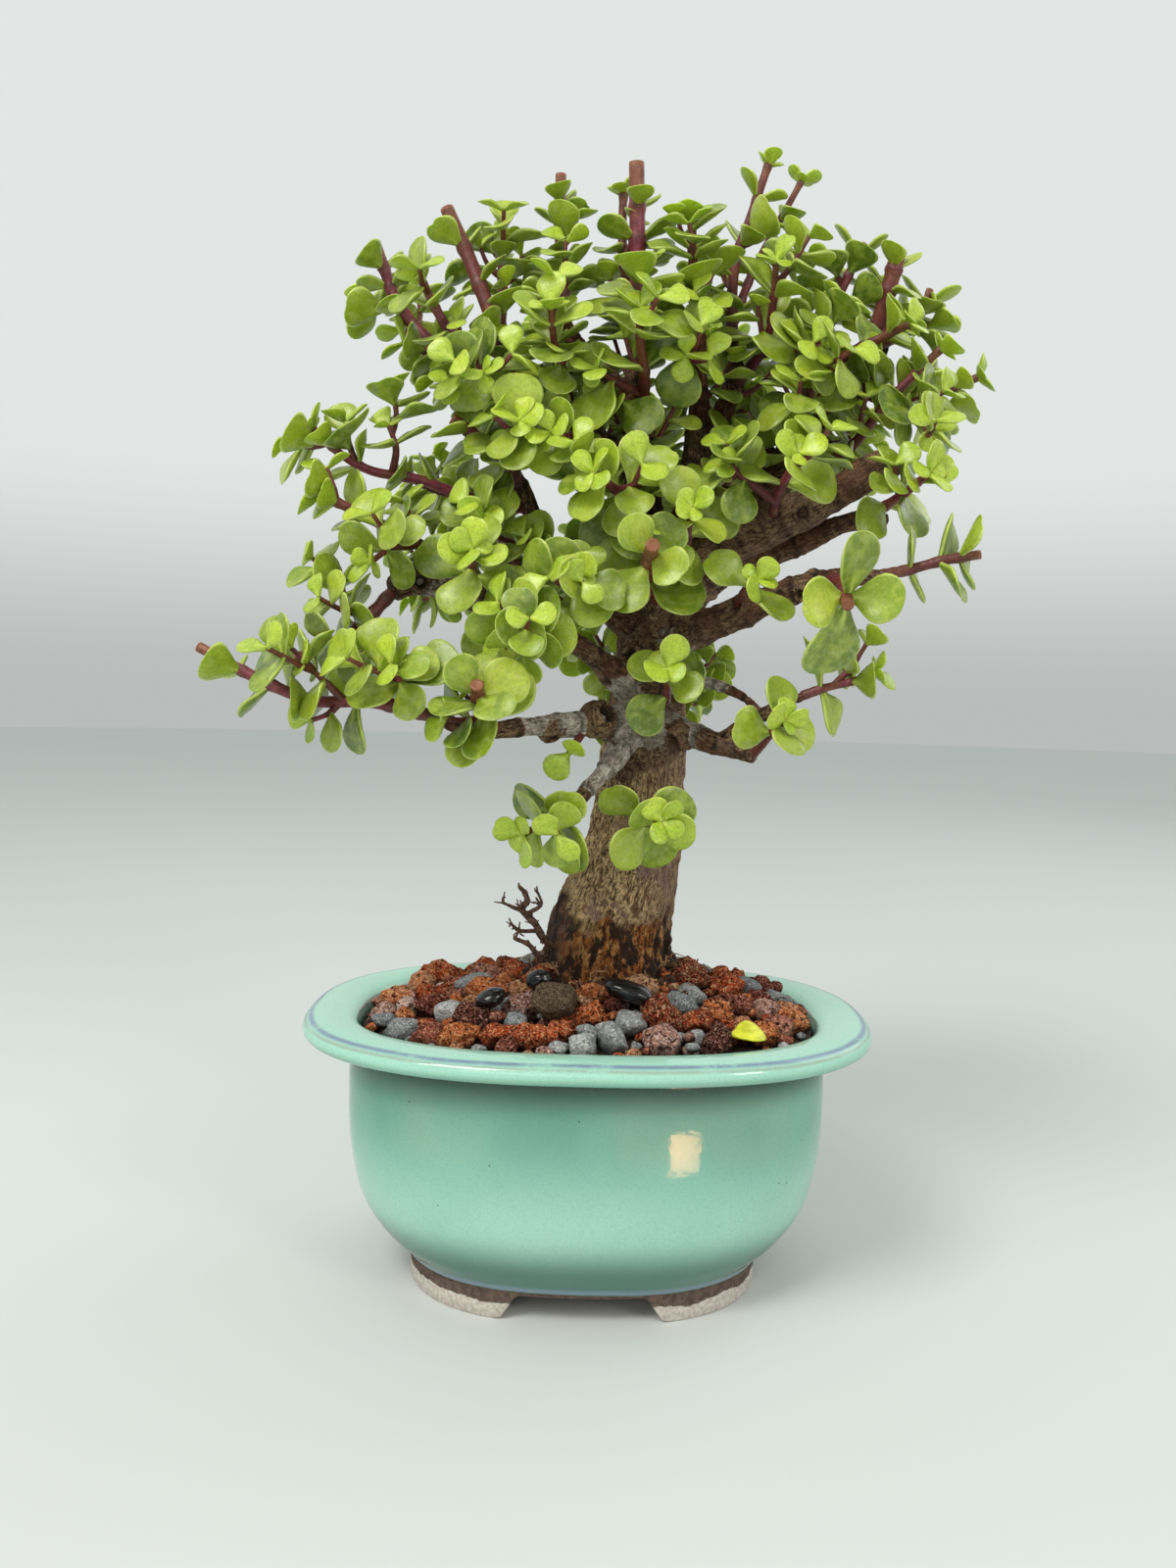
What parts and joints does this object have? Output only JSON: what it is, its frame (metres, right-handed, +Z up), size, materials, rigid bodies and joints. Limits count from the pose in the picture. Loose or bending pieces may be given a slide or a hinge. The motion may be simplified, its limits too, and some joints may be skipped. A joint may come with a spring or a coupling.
{
  "type": "dwarf jade bonsai in a pot",
  "caption": "Small succulent tree with a tapered trunk and dense round leaves, planted in lava grit in a glazed oval bonsai pot with a wide lip and corner feet.",
  "frame": {"origin": "the middle of the whole object's footprint, at the height of the surface the pot stands on", "axes": "+Z up along the trunk; +X along the pot's long side, to the right as seen from the front; -Y towards the front"},
  "size_m": [0.2668, 0.184, 0.3967],
  "materials": {
    "glaze": "glossy celadon-teal glaze, unglazed brown clay feet",
    "grit": "porous red lava with grey pumice, dry",
    "screen": "plastic drain mesh",
    "bark": "grey-brown bark, dark and damp at the collar",
    "foliage": "waxy succulent leaves, semi-gloss, on red-brown stems",
    "yellow_leaf": "fallen yellow leaf, semi-gloss"
  },
  "bodies": {
    "root": {"pot": "glaze", "drain_screen_left": "screen", "drain_screen_right": "screen", "trunk": "bark", "fallen_leaf": "yellow_leaf", "soil": "grit", "shoot_left_whip": "foliage", "shoot_left_mid": "foliage", "shoot_left_high": "foliage", "shoot_left_upper": "foliage", "shoot_left_crown": "foliage", "shoot_left_knob": "foliage", "shoot_left_inner": "foliage", "shoot_left_front_cut": "foliage", "shoot_left_front_mid": "foliage", "shoot_low_left": "foliage", "shoot_low_left_hanging": "foliage", "shoot_trunk_low": "foliage", "shoot_trunk_front": "foliage", "shoot_centre_low": "foliage", "shoot_front_cut": "foliage", "shoot_front_right": "foliage", "shoot_front_crown": "foliage", "shoot_front_upper": "foliage", "shoot_top_left_a": "foliage", "shoot_top_left_b": "foliage", "shoot_top_left_c": "foliage", "shoot_top_a": "foliage", "shoot_top_b": "foliage", "shoot_top_leader": "foliage", "shoot_top_front": "foliage", "shoot_top_c": "foliage", "shoot_top_right_a": "foliage", "shoot_top_right_b": "foliage", "shoot_right_top_a": "foliage", "shoot_right_top_b": "foliage", "shoot_right_front_a": "foliage", "shoot_right_front_b": "foliage", "shoot_right_end": "foliage", "shoot_fork_high": "foliage", "shoot_stub_leaves": "foliage", "shoot_right_low_tip": "foliage", "shoot_front_low_right": "foliage", "shoot_fork_low": "foliage", "shoot_low_right_a": "foliage", "shoot_low_right_b": "foliage", "shoot_back_a": "foliage", "shoot_back_b": "foliage", "shoot_back_c": "foliage", "shoot_back_d": "foliage", "shoot_back_f": "foliage", "shoot_back_g": "foliage", "shoot_back_h": "foliage", "shoot_back_i": "foliage", "shoot_back_j": "foliage", "shoot_back_k": "foliage", "shoot_back_l": "foliage", "shoot_back_m": "foliage"}
  },
  "joints": []
}
